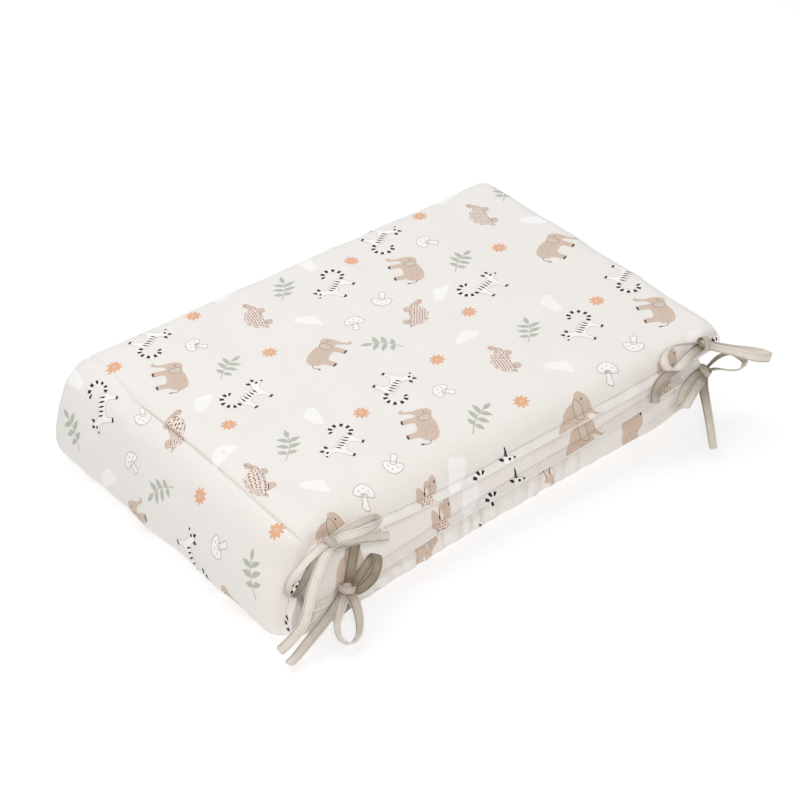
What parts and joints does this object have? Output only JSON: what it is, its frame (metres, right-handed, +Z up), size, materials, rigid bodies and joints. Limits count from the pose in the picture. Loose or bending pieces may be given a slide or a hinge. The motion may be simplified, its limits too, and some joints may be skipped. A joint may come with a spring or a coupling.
{
  "type": "crib bumper",
  "caption": "Padded crib bumper strip folded in a flat stack of layers, with a stitched front flange and tied ribbon bows at its corners.",
  "frame": {"origin": "on the floor, in the middle of the flat underside of the bottom layer", "axes": "+X along the folded strip to the free end of the top panel, +Y to the back long edge, +Z up"},
  "size_m": [0.6654, 0.4588, 0.1222],
  "materials": {
    "cloth": "smooth printed cotton over soft padding",
    "tape": "folded and topstitched cotton tape"
  },
  "bodies": {
    "root": {"bumper_pad": "cloth", "tie_left_upper": "tape", "tie_left_lower": "tape", "tie_right_upper": "tape", "tie_right_lower": "tape"}
  },
  "joints": []
}
